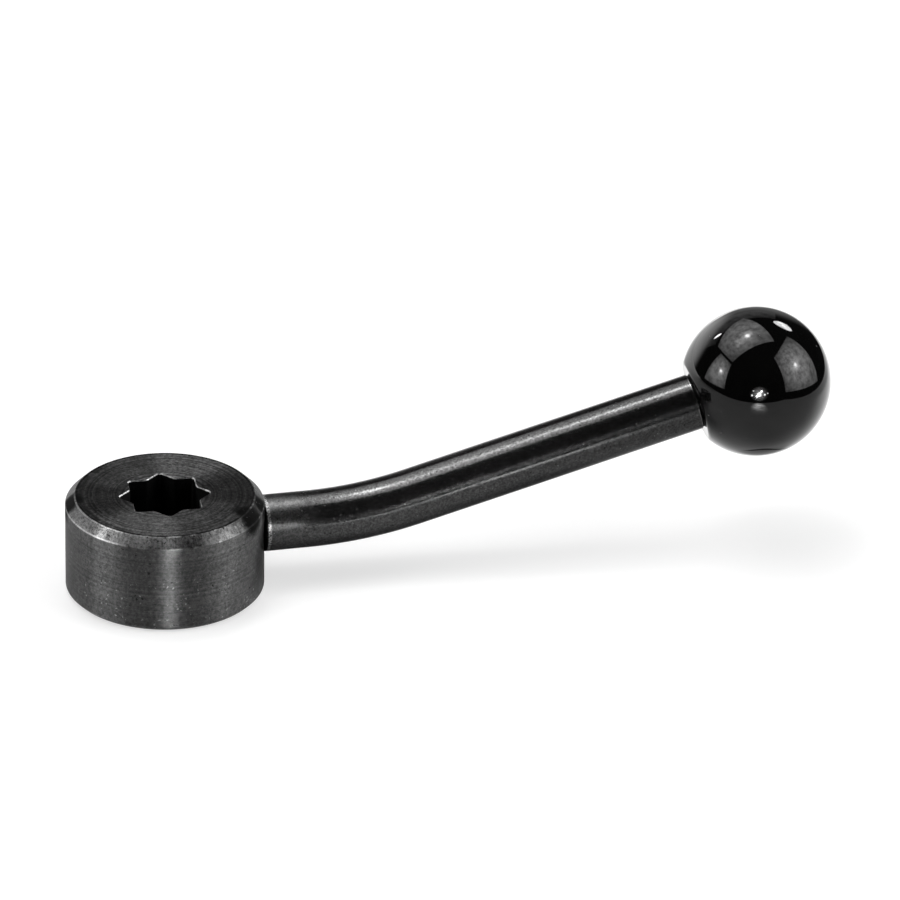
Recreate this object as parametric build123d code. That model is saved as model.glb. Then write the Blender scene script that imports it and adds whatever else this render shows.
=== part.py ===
from build123d import *
import os
from math import asin, cos, radians, sin, sqrt

# Clamping lever: a turned hub with a double-square socket, a bent round arm and a ball knob.
# Millimetres. The socket's axis is Z, the hub's lower face lies at Z = 0 and the arm points
# along +X, bending up in the XZ plane.

# Hub
hub_diameter = 42.0
hub_height = 21.5
hub_top_chamfer = 2.0
hub_bottom_chamfer = 1.0

# Double-square socket: two equal squares, one turned by half a right angle, broached through
# a pilot bore, with their corners on one circle. The turn is that of the corner nearest the arm.
socket_across_flats = 14.0
socket_corner_diameter = 19.0
pilot_bore_diameter = 15.4
socket_turn = -4.5

# Arm
rod_diameter = 12.0
rod_axis_height = 12.5
bend_start = 30.5
bend_radius = 90.0
bend_angle = 15.0
arm_reach = 128.0

# Arm's seat in the hub
spot_face_depth = 0.8
spot_face_clearance = 0.75
hub_thread_diameter = 10.0
wall_behind_arm = 2.0
hub_shoulder_chamfer = 0.6

# Ball knob and its stud
knob_diameter = 32.0
knob_flat_diameter = 17.0
knob_edge_break = 0.3
knob_thread_diameter = 8.0
stud_length = 14.0
knob_shoulder_chamfer = 0.4

# Fits and small turned features
thread_clearance = 0.05
end_clearance = 0.8
thread_lead = 0.9
relief_width = 1.2
relief_depth = 0.7

hub_radius = hub_diameter / 2
rod_radius = rod_diameter / 2
seat_x = hub_radius - spot_face_depth
hole_floor_x = socket_corner_diameter / 2 + wall_behind_arm
spigot_length = seat_x - hole_floor_x - end_clearance
knob_radius = knob_diameter / 2
flat_radius = knob_flat_diameter / 2
flat_offset = sqrt(knob_radius**2 - flat_radius**2)

# The arm's centre line: straight out of the hub, one arc up, straight to the knob's centre
bend_end = Vector(bend_start + bend_radius * sin(radians(bend_angle)), 0,
                  rod_axis_height + bend_radius * (1 - cos(radians(bend_angle))))
arm_direction = Vector(cos(radians(bend_angle)), 0, sin(radians(bend_angle)))
knob_centre = bend_end + arm_direction * ((arm_reach - bend_end.X) / arm_direction.X)
knob_seat = knob_centre - arm_direction * flat_offset

hub_seat_plane = Plane(origin=(seat_x, 0, rod_axis_height), x_dir=(0, 1, 0), z_dir=(1, 0, 0))


def turned_disc():
    """The hub's blank, turned about the socket's axis with both outer edges chamfered."""
    outline = Polyline(
        (0, 0),
        (hub_radius - hub_bottom_chamfer, 0),
        (hub_radius, hub_bottom_chamfer),
        (hub_radius, hub_height - hub_top_chamfer),
        (hub_radius - hub_top_chamfer, hub_height),
        (0, hub_height),
        close=True,
    )
    return revolve(Plane.XZ * make_face(outline), Axis.Z)


def socket_section():
    """Eight-pointed section: two crossed squares and the pilot bore, inside the corner circle."""
    square = Rectangle(socket_across_flats, socket_across_flats)
    points = square + Rot(Z=45) * square + Circle(pilot_bore_diameter / 2)
    return Rot(Z=socket_turn) * (points & Circle(socket_corner_diameter / 2))


def hub():
    """Hub with its socket and, in the round side, the spot-face and blind hole for the arm."""
    socket = extrude(socket_section(), hub_height)
    pocket_radius = rod_radius + spot_face_clearance
    spot_face = extrude(hub_seat_plane * Circle(pocket_radius), hub_radius)
    hole_radius = hub_thread_diameter / 2 + thread_clearance
    arm_hole = extrude(hub_seat_plane * Circle(hole_radius), hole_floor_x - seat_x)
    return turned_disc() - socket - spot_face - arm_hole


def turned_end(thread_diameter, length, shoulder_chamfer, collar):
    """One end of the arm, turned down to a thread's size behind a chamfered shoulder.

    The shoulder lies in the local XY plane, the thread points along local -Z and a collar of
    full diameter follows along +Z.
    """
    thread_radius = thread_diameter / 2
    relief_radius = thread_radius - relief_depth
    outline = Polyline(
        (0, -length),
        (thread_radius - thread_lead, -length),
        (thread_radius, thread_lead - length),
        (thread_radius, -relief_width - relief_depth),
        (relief_radius, -relief_width),
        (relief_radius, 0),
        (rod_radius - shoulder_chamfer, 0),
        (rod_radius, shoulder_chamfer),
        (rod_radius, collar),
        (0, collar),
        close=True,
    )
    return revolve(Plane.XZ * make_face(outline), Axis.Z)


def lever_arm():
    """Bent bar with a turned end for the hub and a turned stud for the knob."""
    collar = 2 * hub_shoulder_chamfer
    start = Vector(seat_x + collar, 0, rod_axis_height)
    end = knob_seat - arm_direction * collar
    straight_out = Line(start, (bend_start, 0, rod_axis_height))
    bend = TangentArc(straight_out @ 1, bend_end, tangent=(1, 0, 0))
    straight_up = Line(bend @ 1, end)
    bar_section = Plane(origin=start, x_dir=(0, 1, 0), z_dir=(1, 0, 0)) * Circle(rod_radius)
    bar = sweep(bar_section, path=Wire([straight_out, bend, straight_up]))
    hub_end = turned_end(hub_thread_diameter, spigot_length, hub_shoulder_chamfer, collar)
    knob_end = turned_end(knob_thread_diameter, stud_length, knob_shoulder_chamfer, collar)
    toward_hub = Plane(origin=knob_seat, x_dir=(0, 1, 0), z_dir=-arm_direction)
    return hub_seat_plane * hub_end + bar + toward_hub * knob_end


def ball_knob():
    """Ball with a flat, its rim just broken, and a blind hole for the arm's stud.

    Turned about the stud's axis in its own frame, with the ball's centre at the origin and the
    flat facing along local -Z.
    """
    hole_radius = knob_thread_diameter / 2 + thread_clearance
    hole_floor = stud_length + end_clearance - flat_offset
    rim_angle = asin(flat_radius / knob_radius) + knob_edge_break / knob_radius
    rim = (knob_radius * sin(rim_angle), -knob_radius * cos(rim_angle))
    outline = [
        Polyline(rim, (flat_radius - knob_edge_break, -flat_offset), (hole_radius, -flat_offset),
                 (hole_radius, hole_floor), (0, hole_floor), (0, knob_radius)),
        ThreePointArc((0, knob_radius), (knob_radius, 0), rim),
    ]
    ball = revolve(Plane.XZ * make_face(outline), Axis.Z)
    return Plane(origin=knob_centre, x_dir=(0, 1, 0), z_dir=arm_direction) * ball


if __name__ == "__main__":
    os.makedirs("parts", exist_ok=True)
    export_step(hub(), "parts/hub.step")
    export_step(lever_arm(), "parts/lever_arm.step")
    export_step(ball_knob(), "parts/ball_knob.step")
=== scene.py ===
"""Looks of a clamping lever: a turned hub, a bent round arm and a ball knob, in a small studio."""

import functools
import logging
import math
from dataclasses import dataclass
from enum import Enum
from typing import Optional, Sequence, Union

import bmesh
import bpy
from mathutils import Matrix, Quaternion, Vector


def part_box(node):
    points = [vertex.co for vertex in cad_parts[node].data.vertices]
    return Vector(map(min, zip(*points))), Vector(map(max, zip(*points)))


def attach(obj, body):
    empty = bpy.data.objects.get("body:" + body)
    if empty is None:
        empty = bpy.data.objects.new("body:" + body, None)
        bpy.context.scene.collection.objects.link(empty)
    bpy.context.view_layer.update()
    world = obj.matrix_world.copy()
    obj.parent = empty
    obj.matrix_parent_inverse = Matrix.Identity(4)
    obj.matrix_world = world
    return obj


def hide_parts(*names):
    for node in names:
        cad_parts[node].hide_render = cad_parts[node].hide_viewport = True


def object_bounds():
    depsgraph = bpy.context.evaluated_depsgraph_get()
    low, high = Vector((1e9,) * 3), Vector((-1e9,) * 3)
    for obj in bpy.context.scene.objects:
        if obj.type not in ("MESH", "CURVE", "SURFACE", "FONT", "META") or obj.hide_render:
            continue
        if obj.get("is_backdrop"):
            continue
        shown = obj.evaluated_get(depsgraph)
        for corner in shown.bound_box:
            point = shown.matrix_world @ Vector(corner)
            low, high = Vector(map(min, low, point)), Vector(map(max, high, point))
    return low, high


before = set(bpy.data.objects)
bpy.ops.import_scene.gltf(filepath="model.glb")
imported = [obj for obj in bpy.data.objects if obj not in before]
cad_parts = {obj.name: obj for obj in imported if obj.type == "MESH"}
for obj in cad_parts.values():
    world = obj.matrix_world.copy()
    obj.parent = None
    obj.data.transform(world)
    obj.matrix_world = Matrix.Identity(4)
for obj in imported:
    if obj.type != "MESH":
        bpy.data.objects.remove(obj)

log = logging.getLogger("clamping_lever")

MM = 0.001
MERGE_DISTANCE = 1e-4
SHARP_ANGLE = 26.0
BODY = "root"

Point = tuple[float, float, float]
Value = Union["Signal", float, Sequence[float]]
Key = Union[int, str]


class Slot(Enum):
    """The record's material slots."""

    HUB = "hub_steel"
    ARM = "arm_steel"
    KNOB = "knob_plastic"


class Solid(Enum):
    """The solids that the pieces stand for."""

    HUB = "hub"
    ARM = "lever_arm"
    KNOB = "ball_knob"


# ---------------------------------------------------------------------------------------------
# Node building
# ---------------------------------------------------------------------------------------------


@dataclass(frozen=True)
class Grain:
    """A noise: its patches in each unit, how many finer layers it has and how strong they are."""

    scale: float
    layers: float = 2.0
    strength: float = 0.5


@dataclass(frozen=True)
class Scatter:
    """Small round spots: cells in each unit, a spot's radius in cells, and the share of cells with one."""

    cells: float
    radius: float
    share: float


class Signal:
    """A level or a vector that flows between nodes. Levels add up and multiply as numbers do."""

    def __init__(self, sheet: "Sheet", socket: bpy.types.NodeSocket) -> None:
        """Holds an output socket and the sheet that its node lies on."""
        self.sheet = sheet
        self.socket = socket

    def __add__(self, other: Value) -> "Signal":
        """This level plus another."""
        return self.sheet.math("ADD", self, other)

    def __sub__(self, other: Value) -> "Signal":
        """This level less another."""
        return self.sheet.math("SUBTRACT", self, other)

    def __rsub__(self, other: Value) -> "Signal":
        """Another level less this one."""
        return self.sheet.math("SUBTRACT", other, self)

    def __mul__(self, other: Value) -> "Signal":
        """This level times another."""
        return self.sheet.math("MULTIPLY", self, other)

    def __pow__(self, exponent: float) -> "Signal":
        """This level raised to a power."""
        return self.sheet.math("POWER", self, exponent)

    def __abs__(self) -> "Signal":
        """This level without its sign."""
        return self.sheet.math("ABSOLUTE", self)

    __radd__ = __add__
    __rmul__ = __mul__


class Sheet:
    """A node tree, with short calls that add nodes and join them."""

    def __init__(self, tree: bpy.types.NodeTree) -> None:
        """Starts on a node tree, which it empties."""
        self.tree = tree
        tree.nodes.clear()

    def add(self, kind: str, inputs: dict[Key, Value], **settings: object) -> bpy.types.Node:
        """Adds one node.

        Args:
            kind: The node's type name, after its first word ShaderNode.
            inputs: What goes into its inputs, by their names or numbers: signals or constants.
            **settings: Properties set on the node itself.

        Returns:
            The new node.
        """
        node = self.tree.nodes.new("ShaderNode" + kind)
        for name, value in settings.items():
            setattr(node, name, value)
        for key, value in inputs.items():
            if isinstance(value, Signal):
                self.tree.links.new(value.socket, node.inputs[key])
            else:
                node.inputs[key].default_value = value
        return node

    def take(self, kind: str, inputs: dict[Key, Value], output: Key = 0, **settings: object) -> Signal:
        """Adds one node and takes one of its outputs."""
        return Signal(self, self.add(kind, inputs, **settings).outputs[output])

    def ray(self, name: str) -> Signal:
        """One fact about the ray that meets the surface."""
        return self.take("LightPath", {}, name)

    def math(self, operation: str, *values: Value, clamp: bool = False) -> Signal:
        """One Math node, its result kept from 0 to 1 if clamp is set."""
        return self.take("Math", dict(enumerate(values)), operation=operation, use_clamp=clamp)

    def largest(self, *levels: Signal) -> Signal:
        """The largest of some levels."""
        return functools.reduce(functools.partial(self.math, "MAXIMUM"), levels)

    def vector(self, operation: str, *values: Value, output: str = "Vector") -> Signal:
        """One Vector Math node."""
        return self.take("VectorMath", dict(enumerate(values)), output, operation=operation)

    def scaled(self, vector: Signal, factor: float) -> Signal:
        """A vector times a number."""
        return self.take("VectorMath", {0: vector, "Scale": factor}, "Vector", operation="SCALE")

    def length(self, vector: Signal) -> Signal:
        """A vector's length."""
        return self.vector("LENGTH", vector, output="Value")

    def toward(self, vector: Signal, direction: Point) -> Signal:
        """How far a vector reaches along a fixed direction."""
        return self.vector("DOT_PRODUCT", vector, direction, output="Value")

    def split(self, vector: Signal) -> tuple[Signal, ...]:
        """A vector's X, Y and Z."""
        node = self.add("SeparateXYZ", {0: vector})
        return tuple(Signal(self, part) for part in node.outputs)

    def joined(self, x: Value, y: Value, z: Value) -> Signal:
        """Three numbers as a vector."""
        return self.take("CombineXYZ", {0: x, 1: y, 2: z})

    def step(self, value: Value, start: Value, end: Value, low: Value = 0.0, high: Value = 1.0) -> Signal:
        """A smooth step from one level to another.

        Args:
            value: The number that is looked at.
            start: Where the step starts.
            end: Where the step ends.
            low: The level before the start.
            high: The level past the end.

        Returns:
            The stepped level.
        """
        inputs = {"Value": value, "From Min": start, "From Max": end, "To Min": low, "To Max": high}
        return self.take("MapRange", inputs, "Result", interpolation_type="SMOOTHSTEP")

    def span(self, value: Signal, low: Value, high: Value) -> Signal:
        """A number from 0 to 1, spread between two levels."""
        return self.take("Mix", {0: value, 2: low, 3: high}, data_type="FLOAT", clamp_factor=True)

    def noise(self, at: Signal, grain: Grain, lines: bool = False) -> Signal:
        """Noise from 0 to 1 about a half.

        Args:
            at: A position, or a single distance if lines is set.
            grain: How fine the noise is.
            lines: Whether the noise changes along one distance alone.

        Returns:
            The noise.
        """
        fineness = {"Scale": grain.scale, "Detail": grain.layers, "Roughness": grain.strength}
        if lines:
            return self.take("TexNoise", {"W": at, **fineness}, noise_dimensions="1D")
        return self.take("TexNoise", {"Vector": at, **fineness}, noise_dimensions="3D")

    def specks(self, at: Signal, scatter: Scatter) -> Signal:
        """Small round spots, scattered over some of a grid's cells.

        Args:
            at: The position.
            scatter: How large and how common the spots are.

        Returns:
            1 on a spot and 0 elsewhere.
        """
        cells = self.add("TexVoronoi", {"Vector": at, "Scale": scatter.cells}, feature="F1")
        distance = Signal(self, cells.outputs["Distance"])
        draw = self.take("SeparateColor", {0: Signal(self, cells.outputs["Color"])})
        spot = self.step(distance, scatter.radius * 0.5, scatter.radius, 1.0, 0.0)
        return spot * self.math("LESS_THAN", draw, scatter.share)

    def shaken(self, at: Signal, scale: float, reach: float) -> Signal:
        """A position pushed about by noise, so that marks laid on it get uneven outlines.

        Args:
            at: The position.
            scale: Noise patches in each unit of the position.
            reach: How far a place is pushed at most, each way.

        Returns:
            The pushed position.
        """
        drift = self.take("TexNoise", {"Vector": at, "Scale": scale}, "Color")
        push = self.vector("SUBTRACT", drift, (0.5, 0.5, 0.5))
        return self.vector("ADD", at, self.scaled(push, reach * 4.0))

    def patch(self, at: Signal, middle: Point, reach: float, ragged: Signal) -> Signal:
        """A mark round a point, with a ragged edge.

        Args:
            at: The position.
            middle: The mark's middle.
            reach: How far the mark reaches.
            ragged: Noise that frays its edge.

        Returns:
            1 inside the mark and 0 outside.
        """
        gap = self.length(self.vector("SUBTRACT", at, middle)) + (ragged - 0.5) * (reach * 0.9)
        return self.step(gap, reach * 0.4, reach, 1.0, 0.0)

    def relief(self, *layers: tuple[Signal, float]) -> Signal:
        """Relief, each layer of it laid on the one before.

        Args:
            *layers: Each layer's height, from 0 to 1, and how many millimetres high 1 is.

        Returns:
            The new normal.
        """
        inputs: dict[Key, Value] = {"Strength": 1.0}
        for height, depth in layers:
            inputs.update({"Height": height, "Distance": depth * MM})
            inputs["Normal"] = self.take("Bump", inputs)
        return inputs["Normal"]

    def grey(self, level: Signal) -> Signal:
        """A level as a neutral colour."""
        return self.take("CombineColor", dict.fromkeys(range(3), level))

    def surface(self, shader: Signal, kind: str = "OutputMaterial") -> None:
        """Joins a shader to the tree's output."""
        self.add(kind, {"Surface": shader})


def new_material(name: str) -> tuple[bpy.types.Material, Sheet]:
    """An empty node material.

    Args:
        name: The material's name.

    Returns:
        The material and its sheet of nodes.
    """
    material = bpy.data.materials.new(name)
    material.use_nodes = True
    return material, Sheet(material.node_tree)


# ---------------------------------------------------------------------------------------------
# Finishes
# ---------------------------------------------------------------------------------------------


@dataclass(frozen=True)
class DarkBlot:
    """A dark blot on the hub: its middle and how far it reaches, in millimetres."""

    middle: Point
    reach: float


class HubPlace:
    """Where a place lies on the hub, in millimetres, and the noises that several marks share."""

    def __init__(self, s: Sheet, rim: float, rubbed_side: Point) -> None:
        """Works out the shared signals.

        Args:
            s: The sheet of nodes.
            rim: The hub's radius.
            rubbed_side: The direction of the side that is rubbed most.
        """
        self.whole = s.scaled(s.take("TexCoord", {}, "Object"), 1 / MM)
        self.x, self.y, self.z = s.split(self.whole)
        self.flat = s.joined(self.x, self.y, 0.0)
        self.radius = s.length(self.flat)
        self.around = s.vector("NORMALIZE", self.flat)
        self.rim_line = s.scaled(self.around, rim)
        self.grip = s.toward(self.around, rubbed_side)

        # 1 on a flat face, and 1 on a chamfer
        tilt = abs(s.split(s.take("NewGeometry", {}, "Normal"))[2])
        self.face = s.step(tilt, 0.86, 0.95)
        self.bevel = s.step(tilt, 0.45, 0.6) * (1.0 - self.face)

        self.patches = s.noise(self.whole, Grain(0.2, 3.0, 0.6))
        self.speckle = s.noise(self.whole, Grain(1.5, 4.0, 0.8))
        self.scuff = s.noise(self.rim_line, Grain(0.28, 2.0, 0.6))


@dataclass(frozen=True)
class TurnedSteel:
    """Blackened steel off the lathe: rings on its faces, lines round its side, worn edges."""

    name: str
    radius: float
    height: float
    top_chamfer: float
    bottom_chamfer: float
    arm_height: float
    seat_radius: float
    tone: float = 0.108
    face_tone: float = 0.066
    worn_tone: float = 0.42
    roughness: float = 0.37
    face_roughness: float = 0.45
    chamfer_roughness: float = 0.29
    anisotropy: float = 0.97
    grazing_tone: float = 0.8
    ring_pitch: float = 0.62
    ring_depth: float = 0.006
    ripple_depth: float = 0.014
    speckle_depth: float = 0.006
    nick_depth: float = 0.025
    rubbed_side: Point = (-0.94, -0.34, 0.0)
    dark_blots: tuple[DarkBlot, ...] = (
        DarkBlot((-20.3, 1.6, 20.2), 4.4),
        DarkBlot((16.4, -11.4, 20.6), 5.6),
        DarkBlot((19.0, -6.2, 19.6), 3.6),
    )

    def material(self) -> bpy.types.Material:
        """The finish as a node material, on object coordinates."""
        material, s = new_material(self.name)
        at = HubPlace(s, self.radius, self.rubbed_side)

        # Tool marks: along the radius on a face and along the height on the side
        travel = s.span(at.face, at.z, at.radius)
        rings = s.noise(travel, Grain(1 / self.ring_pitch, 4.0, 0.7), lines=True)
        broad = s.noise(travel, Grain(0.14 / self.ring_pitch), lines=True)
        ripple = s.noise(at.whole, Grain(1.1, 3.0, 0.6))

        # Painted shade in the socket and the arm's seat, the dark ring and the blots: darker and duller
        shade_and_blots = self._painted_shade_and_blots(s, at)
        pits, nicks = self._pits_and_nicks(s, at)
        tone = self._skin(s, at, rings, broad) * s.span(shade_and_blots, 1.0, 0.03) * s.span(pits, 1.0, 0.25)
        tone = s.span(s.largest(self._worn(s, at), nicks * 0.85), tone, self.worn_tone)

        # Gloss and relief
        level = s.span(at.face, self.roughness, self.face_roughness)
        rough = s.span(at.bevel, level, self.chamfer_roughness)
        rough = rough + s.span(at.speckle, -0.07, 0.07) + s.span(at.patches, -0.05, 0.05)
        relief = s.relief(
            (rings, self.ring_depth),
            (ripple, self.ripple_depth),
            (at.speckle, self.speckle_depth),
            (nicks - pits, self.nick_depth),
        )
        inputs = {
            "Metallic": 1.0,
            "Anisotropic": self.anisotropy,
            "Anisotropic Rotation": 0.25,
            "Specular Tint": (self.grazing_tone, self.grazing_tone, self.grazing_tone, 1.0),
            "Base Color": s.grey(tone),
            "Roughness": s.math("ADD", rough, shade_and_blots * 0.5, clamp=True),
            "Normal": relief,
            "Tangent": s.vector("CROSS_PRODUCT", (0.0, 0.0, 1.0), at.around),
        }
        s.surface(s.take("BsdfPrincipled", inputs))
        return material

    def _skin(self, s: Sheet, at: HubPlace, rings: Signal, broad: Signal) -> Signal:
        """The sound skin with its tool marks, and the scraped chamfers.

        Args:
            s: The sheet of nodes.
            at: The place on the hub.
            rings: Noise across the tool marks.
            broad: The same, in wider bands.

        Returns:
            The tone.
        """
        lines = s.span(at.face, s.span(rings, 0.45, 1.55), s.step(rings, 0.3, 0.7, 0.45, 1.55))
        grain = s.step(at.speckle, 0.34, 0.66, s.span(at.face, 0.66, 0.35), s.span(at.face, 1.34, 1.65))
        tone = s.span(at.face, self.tone, self.face_tone) * lines * grain
        tone = tone * s.span(broad, 0.75, 1.25) * s.span(at.patches, 0.6, 1.4)
        tone = tone * s.span(self._ridges(s, at) * at.face, 1.0, 0.35)
        return s.span(at.bevel * 0.85, tone, self._scraped(s, at))

    def _scraped(self, s: Sheet, at: HubPlace) -> Signal:
        """The chamfer's tone, with hairlines across it where the cutter chattered.

        Args:
            s: The sheet of nodes.
            at: The place on the hub.

        Returns:
            The tone.
        """
        hair = s.noise(at.rim_line, Grain(1.6, 4.0, 0.8))
        tone = s.span(hair, 0.01, 0.2) * s.span(at.scuff, 0.5, 1.5)
        return tone * s.step(at.grip, 0.86, 0.99, 1.0, 1.4) * s.step(at.speckle, 0.36, 0.64, 0.55, 1.5)

    def _ridges(self, s: Sheet, at: HubPlace) -> Signal:
        """Coarser marks of the facing cut, near the rim on the side away from the arm.

        Args:
            s: The sheet of nodes.
            at: The place on the hub.

        Returns:
            1 in a mark's groove.
        """
        groove = s.step(s.noise(at.radius, Grain(0.75, 1.0), lines=True), 0.47, 0.56)
        near = s.step(at.radius, 12.0, 15.0) * s.step(at.x, -6.0, -13.0)
        broken = s.step(s.noise(at.flat, Grain(0.45, 2.0, 0.6)), 0.4, 0.55)
        return groove * near * broken

    def _pits_and_nicks(self, s: Sheet, at: HubPlace) -> tuple[Signal, Signal]:
        """Small dark pits, and bright nicks that are most common low on the side.

        Args:
            s: The sheet of nodes.
            at: The place on the hub.

        Returns:
            1 in a pit, and 1 in a nick.
        """
        uneven = s.shaken(at.whole, 1.6, 0.35)
        squat = s.vector("MULTIPLY", uneven, (1.0, 1.0, 1.4))
        crowd = s.step(s.noise(at.whole, Grain(0.3, 2.0, 0.6)), 0.44, 0.6, 0.1, 1.0)
        pits = s.specks(uneven, Scatter(0.8, 0.26, 0.3)) * crowd
        nicks = s.specks(squat, Scatter(1.1, 0.3, 0.42)) * crowd * s.step(at.z, 17.0, 7.0, 0.35, 1.0)
        return pits, nicks * s.step(at.radius, 9.8, 10.2) * s.span(at.face, 1.0, 0.5)

    def _in_socket(self, s: Sheet, at: HubPlace) -> Signal:
        """1 inside the socket's outline."""
        return s.step(at.radius, 10.0, 9.7)

    def _at_mouth(self, s: Sheet, at: HubPlace) -> Signal:
        """1 at the height of the socket's upper mouth."""
        return s.step(at.z, self.height - 0.3, self.height - 0.15)

    def _painted_shade_and_blots(self, s: Sheet, at: HubPlace) -> Signal:
        """Painted shade in the socket and the arm's seat, a dark ring inside the faces' rims, and dark blots.

        Args:
            s: The sheet of nodes.
            at: The place on the hub.

        Returns:
            1 where it is dark.
        """
        # Painted shade on the socket's walls, below the upper mouth
        walls = self._in_socket(s, at) * (1.0 - at.face) * (1.0 - self._at_mouth(s, at))
        # Painted shade in the spot-face round the arm
        from_arm = s.length(s.joined(at.y, at.z - self.arm_height, 0.0))
        seat = s.step(from_arm, self.seat_radius + 0.35, self.seat_radius) * s.step(at.x, 10.0, 11.0)
        # A dark ring on the flat faces just inside their outer edge
        face_edge = self.radius - self.top_chamfer
        rim = s.step(at.radius, face_edge - 0.75, face_edge - 0.35) * at.face
        rim = rim * s.step(at.patches, 0.35, 0.55, 0.5, 0.95)
        # Dark blots with ragged edges, two of them beside the arm's seat
        blots = [s.patch(at.whole, blot.middle, blot.reach, at.patches) for blot in self.dark_blots]
        return s.largest(walls, seat, rim, *blots)

    def _worn(self, s: Sheet, at: HubPlace) -> Signal:
        """Bright metal along the edges: strong where the lever is gripped and patchy elsewhere.

        Args:
            s: The sheet of nodes.
            at: The place on the hub.

        Returns:
            How bare the metal is, from 0 to 1.
        """
        top = self._edge(s, at, self.radius - self.top_chamfer, self.height, 0.3)
        shoulder = self._edge(s, at, self.radius, self.height - self.top_chamfer, 0.3)
        foot = self._edge(s, at, self.radius, self.bottom_chamfer, 0.25)
        edges = s.largest(top, shoulder, foot * 0.3)
        amount = s.largest(s.step(at.grip, 0.75, 0.97), s.step(at.scuff, 0.5, 0.68, 0.06, 0.8))
        worn = edges * amount * s.step(at.speckle, 0.3, 0.6, 0.3, 1.0)
        off_face = s.step(at.z, self.height, self.height - 0.02)
        burr = self._in_socket(s, at) * self._at_mouth(s, at) * off_face
        burr = burr * s.step(s.noise(at.flat, Grain(0.9, 2.0, 0.7)), 0.38, 0.62, 0.1, 0.9)
        return s.largest(worn, burr)

    def _edge(self, s: Sheet, at: HubPlace, radius: float, height: float, width: float) -> Signal:
        """A thin band round one turned edge.

        Args:
            s: The sheet of nodes.
            at: The place on the hub.
            radius: The edge's distance from the axis.
            height: The edge's height.
            width: Half the band's width.

        Returns:
            1 on the edge, falling to 0 at the band's border.
        """
        gap = s.length(s.joined(at.radius - radius, at.z - height, 0.0))
        return s.step(gap, width * 0.25, width, 1.0, 0.0)


@dataclass(frozen=True)
class BlackBar:
    """Drawn bar with a black oxide skin: dark and half glossy, with a fine grain along it."""

    name: str
    shoulders: tuple[float, float]
    tone: float = 0.088
    bare_and_highlight_tone: float = 0.4
    metallic: float = 0.93
    roughness: float = 0.17
    grazing_tone: float = 0.5
    smooth: float = 0.4
    coarse: float = 1.25
    mottle_depth: float = 0.019
    drawn_depth: float = 0.0025
    grit_depth: float = 0.01
    scar_depth: float = 0.012

    def material(self) -> bpy.types.Material:
        """The finish as a node material, on the bar's straightened coordinates."""
        material, s = new_material(self.name)
        hub_end, knob_end = self.shoulders
        along = s.take("Attribute", {}, "Vector", attribute_name=LeverArm.COORDINATES)
        run, across, lift = s.split(along)
        drawn = s.noise(s.joined(run * 0.25, across, lift), Grain(3.2, 3.0, 0.65))
        mottle = s.noise(along, Grain(0.9, 4.0, 0.75))
        blotch = s.noise(along, Grain(0.16))
        grit = s.noise(along, Grain(2.4, 3.0, 0.7))
        specks = s.specks(along, Scatter(1.3, 0.16, 0.2))
        scars = s.specks(s.vector("ADD", along, (3.7, 1.3, 0.4)), Scatter(0.9, 0.26, 0.3))

        # The skin is coarse near the hub; a line at each shoulder is bare metal and painted highlight
        skin = s.step(run - hub_end, 2.0, 16.0, self.coarse, self.smooth)
        # Painted shade darkens the bar's first millimetre, inside the hub's seat
        seat = s.step(run - hub_end, 0.85, 1.0, 1.0, 0.0)
        # Bare metal with a painted highlight, just past the hub's chamfer and at the knob's end
        rim = s.step(abs(run - (hub_end + 1.25)), 0.15, 0.5, 1.0, 0.0) * s.step(grit, 0.42, 0.56)
        stop = s.step(abs(run - knob_end), 0.3, 0.6, 0.7, 0.0)
        bare_and_highlit = s.largest(rim, stop, specks * 0.6)

        tone = self.tone * s.span(mottle, 0.35, 1.65) * s.step(grit, 0.3, 0.7, 0.6, 1.4)
        # Painted shade: the tone falls towards the knob over the last 60 mm
        tone = tone * s.span(scars, 1.0, 0.45) * s.step(knob_end - run, 60.0, 5.0, 1.0, 0.72)
        tone = s.span(bare_and_highlit, tone, self.bare_and_highlight_tone) * s.span(seat, 1.0, 0.1)
        rough = self.roughness + s.span(mottle, -0.12, 0.12) + s.span(blotch, -0.05, 0.05)
        relief = s.relief(
            (mottle * skin, self.mottle_depth),
            (drawn, self.drawn_depth),
            (grit * skin, self.grit_depth),
            (specks - scars, self.scar_depth),
        )
        inputs = {
            "Metallic": self.metallic,
            "Specular Tint": (self.grazing_tone, self.grazing_tone, self.grazing_tone, 1.0),
            "Base Color": s.grey(tone),
            "Roughness": rough + (skin - self.smooth) * 0.24,
            "Normal": relief,
        }
        s.surface(s.take("BsdfPrincipled", inputs))
        return material


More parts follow.
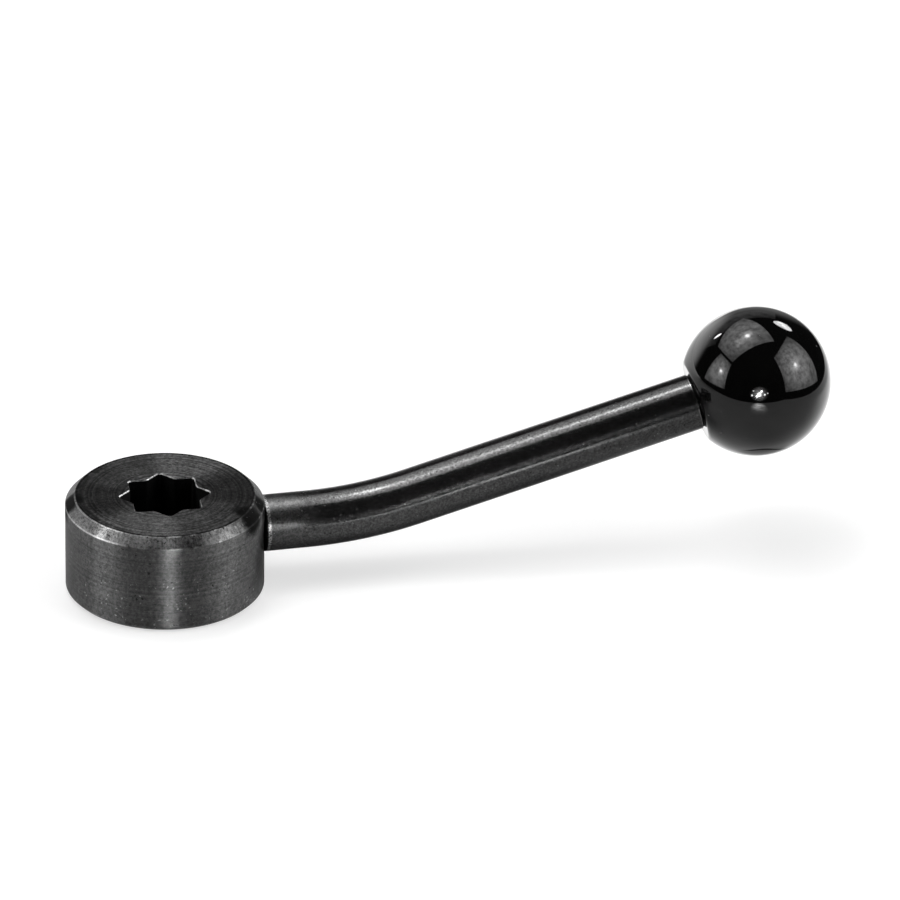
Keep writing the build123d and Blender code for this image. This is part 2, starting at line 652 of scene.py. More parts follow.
@dataclass(frozen=True)
class GlossPlastic:
    """Moulded black plastic with a high polish, faint waviness, dust and hair scratches."""

    name: str
    tone: float = 0.0015
    dust_tone: float = 0.14
    ior: float = 1.5
    roughness: float = 0.035
    wave_depth: float = 0.03
    pebble_depth: float = 0.0012
    dust_depth: float = 0.004

    def material(self) -> bpy.types.Material:
        """The finish as a node material, on object coordinates."""
        material, s = new_material(self.name)
        place = s.scaled(s.take("TexCoord", {}, "Object"), 1 / MM)
        haze = s.noise(place, Grain(0.14, 3.0, 0.6))
        wave = s.noise(place, Grain(0.11, 1.0, 0.4))
        pebble = s.noise(place, Grain(0.6))
        hair = s.noise(s.vector("MULTIPLY", place, (0.6, 5.0, 2.0)), Grain(1.6, 3.0, 0.75))
        fine_dust = s.specks(place, Scatter(0.75, 0.06, 0.12))
        dust = s.largest(fine_dust, s.specks(s.shaken(place, 1.5, 0.3), Scatter(0.4, 0.13, 0.07)))
        rough = self.roughness + s.span(haze, -0.012, 0.018) + s.step(hair, 0.66, 0.8, 0.0, 0.05)
        inputs = {
            "IOR": self.ior,
            "Base Color": s.grey(s.span(dust, self.tone * s.span(haze, 0.6, 1.4), self.dust_tone)),
            "Roughness": rough + dust * 0.3,
            "Normal": s.relief((wave, self.wave_depth), (pebble, self.pebble_depth), (dust, self.dust_depth)),
        }
        s.surface(s.take("BsdfPrincipled", inputs))
        return material


@dataclass(frozen=True)
class WhiteTable:
    """The pale floor. Past the table's edges, and from a face that stands on it, it isn't mirrored."""

    name: str
    front: float
    right: float
    sheen: Point
    knob: Point
    tone: float = 0.5
    glow: float = 0.56
    edge_width: float = 0.02
    standing_gap: float = 0.001
    sheen_reach: float = 0.042
    sheen_turn: float = 12.0

    def material(self) -> bpy.types.Material:
        """The finish as a node material: matt white, lifted to white for what looks at it."""
        material, s = new_material(self.name)
        place = s.take("TexCoord", {}, "Object")
        aside, behind, _ = s.split(s.vector("SUBTRACT", place, self.knob))
        mirrored = s.ray("Is Glossy Ray")
        seen = s.largest(s.ray("Is Camera Ray"), s.ray("Is Transmission Ray"))
        seen = s.span(mirrored, seen, self._reflection(s, place, aside, behind))
        kept = s.span(self._shade(s, aside, behind) * mirrored, 1.0, 0.02)

        tone = s.span(s.noise(place, Grain(6.0, 3.0)), self.tone * 0.98, self.tone * 1.02) * kept
        matt = s.take("BsdfDiffuse", {"Color": s.grey(tone)})
        far = s.step(s.length(place), 0.5, 1.1, self.glow, 1.0)
        glow = s.take("Emission", {"Strength": seen * kept * far})
        lit = s.take("AddShader", {0: matt, 1: glow})
        clear = s.take("BsdfTransparent", {})
        s.surface(s.take("MixShader", {0: self._gone(s, place), 1: lit, 2: clear}))
        return material

    def _reflection(self, s: Sheet, place: Signal, aside: Signal, behind: Signal) -> Signal:
        """How bright the table is where the object mirrors it.

        Args:
            s: The sheet of nodes.
            place: The position on the table.
            aside: Distance to the right of the knob's middle.
            behind: Distance behind the knob's middle.

        Returns:
            The share of the table's glow, brighter to the back, at the sheen and behind the knob.
        """
        x, y, _ = s.split(place)
        back = s.step(y + x * 0.3, 0.02, 0.3, 0.0, 1.3)
        from_sheen = s.vector("SUBTRACT", place, self.sheen)
        turned = {"Vector": from_sheen, "Angle": math.radians(self.sheen_turn)}
        drawn = s.take("VectorRotate", turned, rotation_type="Z_AXIS")
        gap = s.length(s.vector("MULTIPLY", drawn, (1.0, 0.3, 1.0)))
        uneven = s.step(s.noise(place, Grain(40.0, 2.0, 0.6)), 0.35, 0.65, 0.5, 1.4)
        sheen = s.step(gap, 0.002, self.sheen_reach, 12.0, 0.0) * uneven
        beside = s.step(abs(aside - 0.037), 0.08, 0.05)
        halo = s.step(behind, -0.03, 0.02, 0.0, 1.5) * beside
        cloth = s.span(s.noise(place, Grain(28.0, 3.0, 0.6)), -0.25, 0.25)
        return back + sheen + halo + cloth

    def _shade(self, s: Sheet, aside: Signal, behind: Signal) -> Signal:
        """The soft shade right under the knob with its dark front edge, which the knob mirrors.

        Args:
            s: The sheet of nodes.
            aside: Distance to the right of the knob's middle.
            behind: Distance behind the knob's middle.

        Returns:
            How deep the shade is, from 0 to 1.
        """
        bow = (aside - 0.003) ** 2.0 * 100.0
        line = s.step(abs(behind + 0.006 - bow), 0.0024, 0.0008)
        line = line * s.step(abs(aside - 0.0055), 0.013, 0.007)
        gap = s.length(s.joined(aside * 0.9 - 0.005, behind - 0.003, 0.0))
        return s.largest(line * 0.92, s.step(gap, 0.005, 0.013, 0.5, 0.0))

    def _gone(self, s: Sheet, place: Signal) -> Signal:
        """Where the table lets rays through.

        Args:
            s: The sheet of nodes.
            place: The position on the table.

        Returns:
            1 for a mirrored place past the edges or right under a standing face, and seen from below.
        """
        x, y, _ = s.split(place)
        past_right = s.step(x, self.right, self.right + self.edge_width)
        past_front = s.step(y, self.front, self.front - self.edge_width)
        touching = s.math("LESS_THAN", s.ray("Ray Length"), self.standing_gap)
        hidden = s.largest(past_right, past_front, touching) * s.ray("Is Glossy Ray")
        under = s.take("NewGeometry", {}, "Backfacing") * s.ray("Is Camera Ray")
        return s.largest(hidden, under)


# ---------------------------------------------------------------------------------------------
# Mesh building
# ---------------------------------------------------------------------------------------------


@dataclass(frozen=True)
class Corner:
    """One corner of a lathe profile, in millimetres, with the length that its rounding takes."""

    radius: float
    height: float
    rounding: float = 0.0


class Lathe:
    """A profile of corners, turned about the Z axis."""

    STEPS = 192

    def __init__(self, corners: Sequence[Corner]) -> None:
        """Lays the profile out in the XZ plane and rounds its corners.

        Args:
            corners: The profile's corners in order.
        """
        self.bm = bmesh.new()
        line = [self.bm.verts.new((c.radius, 0.0, c.height)) for c in corners]
        for pair in zip(line, line[1:]):
            self.bm.edges.new(pair)
        for vert, corner in zip(line, corners):
            if corner.rounding:
                rounded(self.bm, [vert], corner.rounding, 4)

    def turned(self) -> bmesh.types.BMesh:
        """The profile turned all the way round, with the points on the axis merged."""
        bmesh.ops.spin(
            self.bm,
            geom=self.bm.verts[:] + self.bm.edges[:],
            cent=(0, 0, 0),
            axis=(0, 0, 1),
            angle=math.tau,
            steps=self.STEPS,
            use_merge=True,
        )
        bmesh.ops.remove_doubles(self.bm, verts=self.bm.verts, dist=MERGE_DISTANCE)
        return self.bm


def rounded(
    bm: bmesh.types.BMesh, corners: Sequence[bmesh.types.BMVert], length: float, segments: int
) -> None:
    """Rounds corners of a line.

    Args:
        bm: The mesh.
        corners: The corners.
        length: How far along each side a rounding reaches.
        segments: How many edges a rounding gets.
    """
    bmesh.ops.bevel(
        bm,
        geom=corners,
        offset=length,
        offset_type="OFFSET",
        segments=segments,
        profile=0.5,
        affect="VERTICES",
        material=-1,
    )


def ring_of(edges: Sequence[bmesh.types.BMEdge]) -> list[bmesh.types.BMVert]:
    """The corners of some edges, each once."""
    return list({v for e in edges for v in e.verts})


def extruded(bm: bmesh.types.BMesh, edges: Sequence[bmesh.types.BMEdge]) -> list[bmesh.types.BMEdge]:
    """Extrudes a closed ring of edges in place.

    Args:
        bm: The mesh.
        edges: The ring.

    Returns:
        The new ring.
    """
    made = bmesh.ops.extrude_edge_only(bm, edges=edges)["geom"]
    fresh = {item for item in made if isinstance(item, bmesh.types.BMVert)}
    made_edges = [item for item in made if isinstance(item, bmesh.types.BMEdge)]
    return [edge for edge in made_edges if fresh.issuperset(edge.verts)]


def as_mesh(name: str, bm: bmesh.types.BMesh) -> bpy.types.Mesh:
    """A finished bmesh as a mesh.

    Args:
        name: The mesh's name.
        bm: The bmesh, freed afterwards.

    Returns:
        The mesh.
    """
    mesh = bpy.data.meshes.new(name)
    bm.to_mesh(mesh)
    bm.free()
    return mesh


def placed(name: str, data: bpy.types.ID) -> bpy.types.Object:
    """A new object in the scene.

    Args:
        name: The object's name.
        data: Its mesh, light or camera.

    Returns:
        The object.
    """
    item = bpy.data.objects.new(name, data)
    bpy.context.scene.collection.objects.link(item)
    return item


def cut(mesh: bpy.types.Mesh, tool: bmesh.types.BMesh) -> bpy.types.Mesh:
    """Cuts a closed tool shape out of a mesh.

    Args:
        mesh: The mesh to cut, removed afterwards.
        tool: The tool shape, freed afterwards.

    Returns:
        The cut mesh.
    """
    work = placed("work", mesh)
    cutter = placed("cutter", as_mesh("tool", tool))
    step = work.modifiers.new("cut", "BOOLEAN")
    step.operation = "DIFFERENCE"
    step.solver = "EXACT"
    step.object = cutter
    solved = work.evaluated_get(bpy.context.evaluated_depsgraph_get())
    result = bpy.data.meshes.new_from_object(solved)
    for item in (work, cutter):
        data = item.data
        bpy.data.objects.remove(item)
        bpy.data.meshes.remove(data)
    return result


def finished(
    name: str, mesh: bpy.types.Mesh, material: bpy.types.Material, solid: Solid
) -> bpy.types.Object:
    """Puts a mesh in the scene as a piece that stands for a solid.

    Args:
        name: The piece's name.
        mesh: Its mesh, in millimetres.
        material: Its finish.
        solid: The solid that it stands for.

    Returns:
        The piece.
    """
    mesh.transform(Matrix.Scale(MM, 4))
    mesh.name = name
    mesh.materials.clear()
    mesh.materials.append(material)
    mesh.shade_smooth()
    mesh.set_sharp_from_angle(angle=math.radians(SHARP_ANGLE))
    piece = placed(name, mesh)
    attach(piece, BODY)
    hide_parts(solid.value)
    return piece


# ---------------------------------------------------------------------------------------------
# Pieces
# ---------------------------------------------------------------------------------------------


@dataclass
class Hub:
    """The round hub with its double-square socket and the seat for the arm."""

    radius: float
    height: float
    arm_height: float
    arm_radius: float
    top_chamfer: float = 2.0
    bottom_chamfer: float = 1.0
    edge_round: float = 0.12
    across_flats: float = 14.0
    corner_diameter: float = 19.0
    pilot_diameter: float = 15.4
    socket_turn: float = -4.5
    mouth_break: float = 0.24
    tip_round: float = 0.2
    web_radius: float = 11.0
    seat_depth: float = 0.8
    seat_clearance: float = 0.75
    hole_diameter: float = 10.1
    hole_floor: float = 11.5
    tool_overrun: float = 3.0

    POINTS = 8

    @classmethod
    def from_frame(cls) -> "Hub":
        """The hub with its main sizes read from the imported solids."""
        _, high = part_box(Solid.HUB.value)
        arm_low, arm_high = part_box(Solid.ARM.value)
        rod = arm_high.y / MM
        return cls(high.x / MM, high.z / MM, arm_low.z / MM + rod, rod)

    @property
    def seat_x(self) -> float:
        """Where the arm's shoulder meets the hub."""
        return self.radius - self.seat_depth

    @property
    def seat_radius(self) -> float:
        """The radius of the spot-face round the arm."""
        return self.arm_radius + self.seat_clearance

    def build(self) -> bpy.types.Object:
        """Builds, cuts and dresses the hub."""
        body = self._turned_shell()
        self._broach(body)
        bmesh.ops.recalc_face_normals(body, faces=body.faces)
        mesh = cut(as_mesh("hub_body", body), self._seat_tool())
        finish = TurnedSteel(
            "turned_blackened_steel",
            self.radius,
            self.height,
            self.top_chamfer,
            self.bottom_chamfer,
            self.arm_height,
            self.seat_radius,
        )
        return finished("hub_body", mesh, finish.material(), Solid.HUB)

    def _turned_shell(self) -> bmesh.types.BMesh:
        """The outside, turned from the web round the socket to the rim and back."""
        corners = [
            Corner(self.web_radius, self.height),
            Corner(self.radius - self.top_chamfer, self.height, self.edge_round),
            Corner(self.radius, self.height - self.top_chamfer, self.edge_round),
            Corner(self.radius, self.bottom_chamfer, self.edge_round),
            Corner(self.radius - self.bottom_chamfer, 0.0, self.edge_round),
            Corner(self.web_radius, 0.0),
        ]
        return Lathe(corners).turned()

    def _outline(self, bm: bmesh.types.BMesh) -> list[bmesh.types.BMEdge]:
        """Lays the eight-pointed outline on the hub's lower face.

        Args:
            bm: The mesh that gets the outline.

        Returns:
            The outline's edges.
        """
        flat, tip, bore = self.across_flats / 2, self.corner_diameter / 2, self.pilot_diameter / 2
        tip_half = math.pi / 4 - math.acos(flat / tip)
        bore_start = math.pi / 4 - math.acos(flat / bore)
        stations = [(0.0, tip), (tip_half, tip), (bore_start, bore), (math.pi / self.POINTS, bore)]
        line = [bm.verts.new((r * math.cos(a), r * math.sin(a), 0.0)) for a, r in stations]
        edges = [bm.edges.new(pair) for pair in zip(line, line[1:])]
        other = bmesh.ops.mirror(bm, geom=line + edges, axis="Y", merge_dist=-1.0)["geom"]
        bmesh.ops.spin(
            bm,
            geom=line + edges + other,
            cent=(0, 0, 0),
            axis=(0, 0, 1),
            angle=math.tau * (self.POINTS - 1) / self.POINTS,
            steps=self.POINTS - 1,
            use_duplicate=True,
        )
        bmesh.ops.remove_doubles(bm, verts=[v for v in bm.verts if not v.link_faces], dist=MERGE_DISTANCE)
        loose = [v for v in bm.verts if not v.link_faces]
        rounded(bm, [v for v in loose if abs(v.co.xy.length - tip) < 0.01], self.tip_round, 2)
        loose_edges = [e for e in bm.edges if not e.link_faces]
        edges = [e for e in loose_edges if max(v.co.xy.length for v in e.verts) < tip + 0.1]
        turn = Matrix.Rotation(math.radians(self.socket_turn), 3, "Z")
        bmesh.ops.rotate(bm, verts=ring_of(edges), cent=(0, 0, 0), matrix=turn)
        return edges

    def _broach(self, bm: bmesh.types.BMesh) -> None:
        """Cuts the socket's walls, with a small break at both mouths, and closes the two faces.

        Args:
            bm: The turned shell, open round the socket.
        """
        rims = [e for e in bm.edges if e.is_boundary]
        rims_low = [e for e in rims if e.verts[0].co.z < self.height / 2]
        rims_high = [e for e in rims if e.verts[0].co.z > self.height / 2]
        outline = self._outline(bm)
        wider = 1 + self.mouth_break / (self.corner_diameter / 2)
        stations = [
            (0.0, wider),
            (self.mouth_break, 1 / wider),
            (self.height - 2 * self.mouth_break, 1.0),
            (self.mouth_break, wider),
        ]
        ring = outline
        for place, (rise, scale) in enumerate(stations):
            if place:
                ring = extruded(bm, ring)
            verts = ring_of(ring)
            bmesh.ops.scale(bm, verts=verts, vec=(scale, scale, 1.0))
            bmesh.ops.translate(bm, verts=verts, vec=(0.0, 0.0, rise))
        bmesh.ops.triangle_fill(bm, use_beauty=True, edges=outline + rims_low, normal=(0, 0, -1))
        bmesh.ops.triangle_fill(bm, use_beauty=True, edges=ring + rims_high, normal=(0, 0, 1))

    def _seat_tool(self) -> bmesh.types.BMesh:
        """The spot-facing tool with its pilot, lying along X from the hole's floor outwards."""
        hole, end = self.hole_diameter / 2, self.radius + self.tool_overrun
        corners = [
            Corner(0.0, self.hole_floor),
            Corner(hole, self.hole_floor),
            Corner(hole, self.seat_x),
            Corner(self.seat_radius, self.seat_x),
            Corner(self.seat_radius, end),
            Corner(0.0, end),
        ]
        tool = Lathe(corners).turned()
        turn = Matrix.Rotation(math.pi / 2, 3, "Y")
        bmesh.ops.rotate(tool, verts=tool.verts, cent=(0, 0, 0), matrix=turn)
        bmesh.ops.translate(tool, verts=tool.verts, vec=(0.0, 0.0, self.arm_height))
        bmesh.ops.recalc_face_normals(tool, faces=tool.faces)
        return tool


@dataclass
class BallKnob:
    """The ball with a flat, its broken rim and the blind hole for the arm's stud."""

    radius: float
    centre: Vector
    axis: Vector
    flat_diameter: float = 17.0
    edge_break: float = 0.3
    edge_round: float = 0.08
    hole_diameter: float = 8.1
    hole_round: float = 0.15
    stud_length: float = 14.0
    end_clearance: float = 0.8
    arc_steps: int = 96

    @classmethod
    def from_frame(cls, lean: float) -> "BallKnob":
        """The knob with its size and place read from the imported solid.

        Args:
            lean: The stud's slope, in degrees.

        Returns:
            The knob.
        """
        _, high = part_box(Solid.KNOB.value)
        radius = high.y / MM
        centre = Vector((high.x / MM - radius, 0.0, high.z / MM - radius))
        slope = math.radians(lean)
        return cls(radius, centre, Vector((math.cos(slope), 0.0, math.sin(slope))))

    @property
    def flat_offset(self) -> float:
        """The flat's distance from the ball's centre."""
        return math.sqrt(self.radius**2 - (self.flat_diameter / 2) ** 2)

    @property
    def seat(self) -> Vector:
        """The middle of the flat."""
        return self.centre - self.axis * self.flat_offset

    def build(self) -> bpy.types.Object:
        """Builds and dresses the knob."""
        bm = self._turned()
        place = self.axis.to_track_quat("Z", "Y").to_matrix().to_4x4()
        place.translation = self.centre
        bmesh.ops.transform(bm, matrix=place, verts=bm.verts)
        bmesh.ops.recalc_face_normals(bm, faces=bm.faces)
        finish = GlossPlastic("polished_black_plastic")
        return finished("knob_ball", as_mesh("knob_ball", bm), finish.material(), Solid.KNOB)

    def _turned(self) -> bmesh.types.BMesh:
        """The ball about its own centre, its flat facing down."""
        flat, hole, drop = self.flat_diameter / 2, self.hole_diameter / 2, -self.flat_offset
        floor = drop + self.stud_length + self.end_clearance
        rim_angle = math.asin(flat / self.radius) + self.edge_break / self.radius
        corners = [
            Corner(0.0, floor),
            Corner(hole, floor),
            Corner(hole, drop, self.hole_round),
            Corner(flat - self.edge_break, drop, self.edge_round),
            Corner(self.radius * math.sin(rim_angle), -self.radius * math.cos(rim_angle)),
        ]
        lathe = Lathe(corners)
        bmesh.ops.spin(
            lathe.bm,
            geom=[max(lathe.bm.verts, key=lambda v: v.co.x)],
            cent=(0, 0, 0),
            axis=(0, -1, 0),
            angle=math.pi - rim_angle,
            steps=self.arc_steps,
        )
        return lathe.turned()


@dataclass
class LeverArm:
    """The bent round bar with a threaded end in the hub and a stud in the knob."""

    radius: float
    axis_height: float
    seat_x: float
    hole_floor: float
    knob_seat: Vector
    bend_start: float = 30.5
    bend_radius: float = 90.0
    bend_angle: float = 15.0
    bend_steps: int = 30
    hub_thread: float = 10.0
    stud_thread: float = 8.0
    stud_length: float = 14.0
    hub_chamfer: float = 0.6
    knob_chamfer: float = 0.4
    thread_lead: float = 0.9
    relief_width: float = 1.2
    relief_depth: float = 0.7
    end_clearance: float = 0.8
    segments: int = 128

    COORDINATES = "bar_coordinates"

    @property
    def spigot_length(self) -> float:
        """How far the threaded end reaches into the hub."""
        return self.seat_x - self.hole_floor - self.end_clearance

    @property
    def bend_end(self) -> Vector:
        """Where the bar is straight again."""
        angle = math.radians(self.bend_angle)
        x = self.bend_start + self.bend_radius * math.sin(angle)
        z = self.axis_height + self.bend_radius * (1 - math.cos(angle))
        return Vector((x, 0.0, z))

    @property
    def length(self) -> float:
        """Length along the bar between its two shoulders."""
        bend = self.bend_radius * math.radians(self.bend_angle)
        return (self.bend_start - self.seat_x) + bend + (self.knob_seat - self.bend_end).length

    def build(self) -> bpy.types.Object:
        """Grows the bar from the hub to the knob and dresses it."""
        self.bm = bmesh.new()
        self.track = self.bm.verts.layers.float_vector.new(self.COORDINATES)
        self.axis = Vector((1.0, 0.0, 0.0))
        self.middle = Vector((self.seat_x - self.spigot_length, 0.0, self.axis_height))

        spigot = self._threaded_end(self.hub_thread, self.spigot_length)[::-1]
        self._start(spigot[0][0])
        for (_, distance), (radius, _) in zip(spigot, spigot[1:]):
            self._to(radius, distance)
        self._to(self.radius - self.hub_chamfer, 0.0)
        self._to(self.radius - self.hub_chamfer * 0.3, self.hub_chamfer * 0.7)
        self._to(self.radius, self.hub_chamfer * 0.7)
        self._to(self.radius, self.bend_start - self.middle.x)
        self._bend()
        self._to(self.radius, (self.knob_seat - self.middle).length - self.knob_chamfer)
        self._to(self.radius - self.knob_chamfer, self.knob_chamfer)
        for radius, distance in self._threaded_end(self.stud_thread, self.stud_length):
            self._to(radius, distance)

        bmesh.ops.contextual_create(self.bm, geom=self.ring)
        bmesh.ops.recalc_face_normals(self.bm, faces=self.bm.faces)
        mesh = as_mesh("arm_bar", self.bm)
        finish = BlackBar("black_oxide_bar", (self.seat_x, self.seat_x + self.length))
        return finished("arm_bar", mesh, finish.material(), Solid.ARM)

    def _threaded_end(self, thread: float, length: float) -> list[tuple[float, float]]:
        """The turned end that a thread is cut on, from its shoulder outwards.

        Args:
            thread: The thread's diameter.
            length: The end's length.

        Returns:
            Each ring's radius and its distance from the ring before.
        """
        full, root = thread / 2, thread / 2 - self.relief_depth
        plain = length - self.relief_width - self.relief_depth - self.thread_lead
        return [
            (root, 0.0),
            (root, self.relief_width),
            (full, self.relief_depth),
            (full, plain),
            (full - self.thread_lead, self.thread_lead),
        ]

    def _start(self, radius: float) -> None:
        """Lays the first ring, closed with a face.

        Args:
            radius: The ring's radius.
        """
        turn = Matrix.Rotation(math.pi / 2, 4, "Y")
        turn.translation = self.middle
        bmesh.ops.create_circle(self.bm, cap_ends=True, segments=self.segments, radius=radius, matrix=turn)
        self.ring = list(self.bm.edges)
        self.ring_radius = radius
        self.station = self.middle.x
        for vert in self.bm.verts:
            offset = vert.co - self.middle
            vert[self.track] = Vector((self.station, offset.y, offset.z))

    def _to(self, radius: float, distance: float) -> None:
        """Grows the bar by one ring along its axis.

        Args:
            radius: The new ring's radius.
            distance: How far along the axis it lies.
        """
        self.ring = extruded(self.bm, self.ring)
        verts = ring_of(self.ring)
        scale = radius / self.ring_radius
        for vert in verts:
            vert.co = self.middle + (vert.co - self.middle) * scale
            seat = vert[self.track]
            vert[self.track] = Vector((self.station + distance, seat.y * scale, seat.z * scale))
        bmesh.ops.translate(self.bm, verts=verts, vec=self.axis * distance)
        self.middle = self.middle + self.axis * distance
        self.ring_radius = radius
        self.station += distance

    def _bend(self) -> None:
        """Spins the ring round the bend's centre, and turns the axis with it."""
        angle = math.radians(self.bend_angle)
        centre = self.middle + Vector((0.0, 0.0, self.bend_radius))
        made = bmesh.ops.spin(
            self.bm,
            geom=self.ring,
            cent=centre,
            axis=(0, -1, 0),
            angle=angle,
            steps=self.bend_steps,
        )["geom_last"]
        self.ring = [item for item in made if isinstance(item, bmesh.types.BMEdge)]
        for vert in self.bm.verts:
            if vert.co.x > self.bend_start + 1e-3:
                gone = math.atan2(vert.co.x - centre.x, centre.z - vert.co.z)
                seat = vert[self.track]
                vert[self.track] = Vector((self.station + self.bend_radius * gone, seat.y, seat.z))
        turn = Matrix.Rotation(-angle, 3, "Y")
        self.middle = centre + turn @ (self.middle - centre)
        self.axis = turn @ self.axis
        self.station += self.bend_radius * angle


# ---------------------------------------------------------------------------------------------
# Studio
# ---------------------------------------------------------------------------------------------


@dataclass(frozen=True)
class Spot:
    """A bright spot on a lamp's face: the direction that it is seen in, and how far it reaches."""

    direction: Point
    reach: float
    radiance: float


@dataclass(frozen=True)
class Lamp:
    """A flat lamp that faces the object.

    Its place is measured from the middle of the object. A lamp with a list of pieces lights those
    alone, and only as a reflection in them: it doesn't light matt surfaces.
    """

    name: str
    place: Point
    size: tuple[float, float]
    radiance: float
    facing: Optional[Point] = None
    turn: float = 0.0
    round: bool = False
    spots: tuple[Spot, ...] = ()
    unevenness: float = 0.55
    weave: float = 7.0
    lights: tuple[Solid, ...] = ()

    def hang(self, middle: Vector, pieces: dict[Solid, bpy.types.Object]) -> None:
        """Puts the lamp in the scene.

        Args:
            middle: What it is placed around.
            pieces: The pieces, for a lamp that lights only some of them.
        """
        data = bpy.data.lights.new(self.name, "AREA")
        data.shape = "ELLIPSE" if self.round else "RECTANGLE"
        data.size, data.size_y = self.size
        data.energy = 4.0 * self.size[0] * self.size[1] * (math.pi / 4 if self.round else 1.0)
        back = Vector(self.facing or self.place).normalized()
        turn = back.to_track_quat("Z", "Y") @ Quaternion((0, 0, 1), math.radians(self.turn))
        self._cloth(data, turn)
        lamp = placed(self.name, data)
        lamp.location = middle + Vector(self.place)
        lamp.rotation_mode = "QUATERNION"
        lamp.rotation_quaternion = turn
        lamp.visible_camera = False
        if self.lights:
            lamp.visible_diffuse = False
            lit = bpy.data.collections.new(self.name + "_lit")
            for solid in self.lights:
                lit.objects.link(pieces[solid])
            lamp.light_linking.receiver_collection = lit

    def _on_face(self, direction: Point, turn: Quaternion) -> Point:
        """Where a direction meets the lamp's face.

        Args:
            direction: The direction, seen from the middle of the object.
            turn: The lamp's rotation.

        Returns:
            The place on the face, in metres from its lower left corner.
        """
        place, ray = Vector(self.place), Vector(direction)
        normal = turn @ Vector((0.0, 0.0, 1.0))
        offset = turn.inverted() @ (ray * (place.dot(normal) / ray.dot(normal)) - place)
        return offset.x + self.size[0] / 2, offset.y + self.size[1] / 2, 0.0

    def _cloth(self, data: bpy.types.Light, turn: Quaternion) -> None:
        """Gives the lamp's face its uneven cloth, its dimmer border and its bright spots.

        Args:
            data: The light.
            turn: The lamp's rotation.
        """
        data.use_nodes = True
        s = Sheet(data.node_tree)
        share = s.take("NewGeometry", {}, "Parametric")
        face = s.vector("MULTIPLY", share, (*self.size, 0.0))
        weave = s.noise(face, Grain(self.weave, 4.0, 0.7))
        cloth = s.step(weave, 0.25, 0.75, 1 - self.unevenness, 1 + self.unevenness)
        square = s.vector("DIVIDE", face, (*self.size, 1.0))
        from_middle = s.length(s.vector("SUBTRACT", square, (0.5, 0.5, 0.0)))
        level = self.radiance * s.step(from_middle, 0.25, 0.68, 1.0, 0.45)
        for spot in self.spots:
            gap = s.length(s.vector("SUBTRACT", face, self._on_face(spot.direction, turn)))
            level = level + s.step(gap, 0.0, spot.reach, 1.0, 0.0) ** 1.5 * spot.radiance
        strength = s.math("MAXIMUM", level * cloth, 0.0)
        s.surface(s.take("Emission", {"Strength": strength}), "OutputLight")


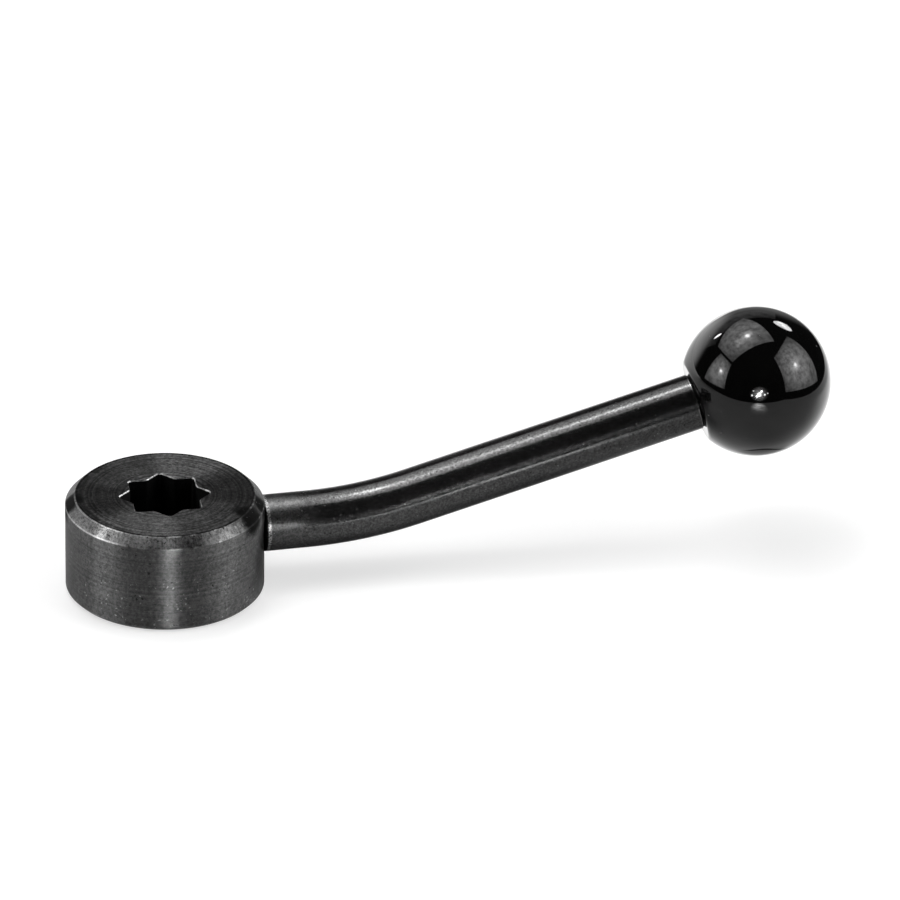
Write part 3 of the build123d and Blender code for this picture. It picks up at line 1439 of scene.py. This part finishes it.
@dataclass
class Studio:
    """A white table in a dim room with three soft windows, and the camera."""

    middle: Vector
    pieces: dict[Solid, bpy.types.Object]
    table_front: float = -0.305
    table_right: float = 0.29
    table_size: float = 3.0
    table_drop: float = 0.1 * MM
    sheen_aside: float = -0.039
    sheen_behind: float = -0.215
    camera_azimuth: float = -13.21
    camera_elevation: float = 27.52
    camera_distance: float = 1.9411
    camera_roll: float = 0.83
    camera_lens: float = 367.0

    def build(self) -> None:
        """Builds the table, the lamps, the room and the camera."""
        self._table()
        self._room()
        for lamp in self._windows() + self._reflections():
            lamp.hang(self.middle, self.pieces)
            log.info("lamp %s", lamp.name)
        self._camera()

    def _table(self) -> None:
        """The white table, as a large flat floor, with the front lamp's sheen before the knob."""
        bm = bmesh.new()
        bmesh.ops.create_grid(bm, x_segments=8, y_segments=8, size=self.table_size)
        bmesh.ops.translate(bm, verts=bm.verts, vec=(0.0, 0.0, -self.table_drop))
        mesh = as_mesh("floor", bm)
        x, y, _ = self.middle
        sheen = (x + self.sheen_aside, y + self.sheen_behind, 0.0)
        finish = WhiteTable("white_table", self.table_front, self.table_right, sheen, (x, y, 0.0))
        mesh.materials.append(finish.material())
        placed("floor", mesh)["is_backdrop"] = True

    def _room(self) -> None:
        """The surroundings: white when looked at, and a white sweep in a dim room in reflections."""
        world = bpy.data.worlds.new("room")
        bpy.context.scene.world = world
        world.use_nodes = True
        s = Sheet(world.node_tree)
        view = s.take("TexCoord", {}, "Generated")
        z = s.split(view)[2]
        wide_way = tuple(Vector((-0.14, 0.98, 0.1)).normalized())
        close_way = tuple(Vector((-0.42, 0.905, 0.04)).normalized())
        wide = s.step(s.toward(view, wide_way), 0.66, 0.86) * s.step(z, 0.5, 0.12)
        close = s.step(s.toward(view, close_way), 0.86, 0.99)
        ground = s.step(z, -0.25, -0.45, 0.0, 0.6)
        mirrored = 0.012 + (wide * 0.45 + close * 1.6) + ground
        looked_at = s.largest(s.ray("Is Camera Ray"), s.ray("Is Transmission Ray"))
        level = s.span(looked_at, s.span(s.ray("Is Glossy Ray"), 0.15, mirrored), 1.0)
        s.surface(s.take("Background", {"Strength": level}), "OutputWorld")

    def _windows(self) -> list[Lamp]:
        """The three soft windows, each with its bright middle."""
        over, left, right = (-0.151, 0.225, 0.962), (-0.889, -0.162, 0.428), (0.777, -0.379, 0.502)
        return [
            Lamp(
                "window_over",
                place=(-0.454, 0.345, 0.882),
                size=(1.277, 1.099),
                radiance=1.3,
                facing=(0.247, -0.052, 0.968),
                turn=296.8,
                spots=(
                    Spot(over, 0.8, 0.9),
                    Spot(over, 0.24, 2.6),
                    Spot(over, 0.09, 16.0),
                    Spot((-0.38, 0.12, 0.91), 0.2, 2.0),
                ),
            ),
            Lamp(
                "window_left",
                place=(-0.926, -0.106, 0.484),
                size=(0.61, 0.823),
                radiance=1.5,
                facing=(-0.989, -0.042, -0.143),
                turn=183.6,
                spots=(Spot(left, 0.5, 1.2), Spot(left, 0.17, 3.0), Spot(left, 0.08, 12.0)),
            ),
            Lamp(
                "window_right",
                place=(0.798, -0.346, 0.588),
                size=(1.214, 1.27),
                radiance=1.5,
                facing=(0.922, -0.34, 0.186),
                turn=169.1,
                spots=(Spot(right, 0.8, 1.3), Spot(right, 0.24, 3.0), Spot(right, 0.09, 16.0)),
            ),
        ]

    def _reflections(self) -> list[Lamp]:
        """The small lamps between the windows, and the pale walls that the hub and knob mirror."""
        hub, arm, knob = (Solid.HUB,), (Solid.ARM,), (Solid.KNOB,)
        front = (-0.156, -0.98, 0.121)
        gap_place, gap_size = (-0.312, -1.96, 0.242), (1.0, 0.8)
        sparkle = (
            Spot(front, 0.5, 4.0),
            Spot((-0.16, -0.98, 0.11), 0.17, 70.0),
            Spot((-0.1, -0.975, 0.19), 0.1, 60.0),
            Spot((-0.22, -0.97, 0.06), 0.1, 60.0),
            Spot((-0.34, -0.935, 0.085), 0.09, 24.0),
            Spot((-0.02, -0.995, 0.1), 0.09, 26.0),
            Spot((-0.3, -0.93, 0.2), 0.07, 16.0),
            Spot((0.06, -0.99, 0.13), 0.06, 14.0),
        )
        plain = (Spot(front, 0.5, 0.8), Spot((-0.16, -0.98, 0.12), 0.25, 38.0))
        return [
            Lamp(
                "gap_front",
                gap_place,
                gap_size,
                0.1,
                round=True,
                spots=sparkle,
                unevenness=1.5,
                weave=22.0,
                lights=hub + knob,
            ),
            Lamp("gap_low", gap_place, gap_size, 0.1, round=True, spots=plain, lights=arm),
            Lamp("lamp_back", (0.558, 0.553, 0.619), (0.32, 0.22), 9.5, turn=25.0, round=True, lights=knob),
            Lamp("slit_back", (-0.5, 0.661, 0.559), (0.06, 0.16), 18.0, turn=30.0, round=True, lights=knob),
            Lamp("wall_back", (-0.14, 0.8, 0.48), (1.3, 0.4), 0.22, lights=knob),
            Lamp("strip_left", (-1.0, 0.04, 0.42), (0.14, 0.5), 8.5, facing=(-1, 0, 0.2), lights=hub),
            Lamp("wall_left", (-1.0, 0.45, 0.25), (0.6, 0.5), 2.0, lights=hub),
            Lamp("wall_right", (0.85, 0.3, 0.2), (0.7, 0.5), 5.0, lights=hub),
        ]

    def _camera(self) -> None:
        """The camera, aimed at the middle of the lever."""
        data = bpy.data.cameras.new("camera")
        data.lens = self.camera_lens
        data.sensor_width = 36.0
        data.clip_start = 0.05
        data.clip_end = 50.0
        camera = placed("camera", data)
        low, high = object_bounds()
        a, e = math.radians(self.camera_azimuth), math.radians(self.camera_elevation)
        back = Vector((math.sin(a) * math.cos(e), -math.cos(a) * math.cos(e), math.sin(e)))
        roll = Quaternion((0, 0, 1), math.radians(self.camera_roll))
        camera.location = (low + high) / 2 + back * self.camera_distance
        camera.rotation_mode = "QUATERNION"
        camera.rotation_quaternion = (-back).to_track_quat("-Z", "Y") @ roll
        bpy.context.scene.camera = camera


def main() -> None:
    """Builds the lever and its studio."""
    logging.basicConfig(level=logging.INFO, format="%(name)s: %(message)s")
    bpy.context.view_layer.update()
    bpy.context.scene.view_settings.view_transform = "Standard"

    hub = Hub.from_frame()
    knob = BallKnob.from_frame(LeverArm.bend_angle)
    arm = LeverArm(hub.arm_radius, hub.arm_height, hub.seat_x, hub.hole_floor, knob.seat)
    pieces = {Solid.HUB: hub.build(), Solid.ARM: arm.build(), Solid.KNOB: knob.build()}
    for piece in pieces.values():
        log.info("piece %s: %d faces", piece.name, len(piece.data.polygons))

    Studio(knob.centre * MM, pieces).build()


if __name__ == "__main__":
    main()
